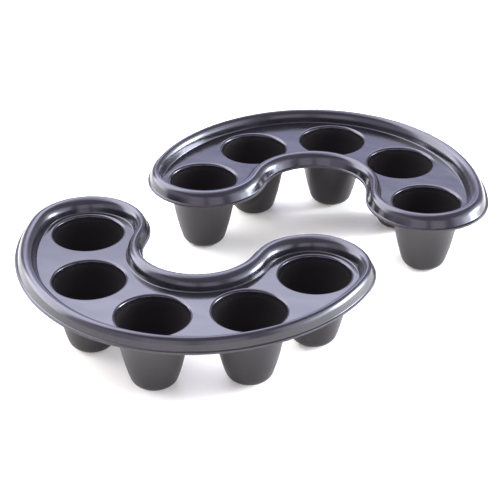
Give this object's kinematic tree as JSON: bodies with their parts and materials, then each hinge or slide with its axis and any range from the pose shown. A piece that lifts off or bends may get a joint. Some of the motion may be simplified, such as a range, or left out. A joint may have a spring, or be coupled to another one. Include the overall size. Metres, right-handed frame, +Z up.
{
  "type": "finger soak tray pair",
  "caption": "Matching C-shaped plastic trays for soaking fingertips, with tapered cups hung from a flat deck that serve as legs and a raised round rim.",
  "frame": {"origin": "on the table, at the bottom centre of the box round both trays", "axes": "+Z up; +Y from the front tray towards the rear tray, along the pair's longest side; +X to the right, with the front tray nearest"},
  "size_m": [0.2226, 0.2662, 0.0452],
  "materials": {
    "black_plastic": "semi-gloss, thermoformed"
  },
  "bodies": {
    "front_tray": {"front_tray": "black_plastic"},
    "rear_tray": {"rear_tray": "black_plastic"}
  },
  "joints": [
    {"name": "rear_tray_lift", "type": "slide", "parent": "front_tray", "child": "rear_tray", "axis": [0, 0, 1], "range_m": [0, 0.06]}
  ]
}
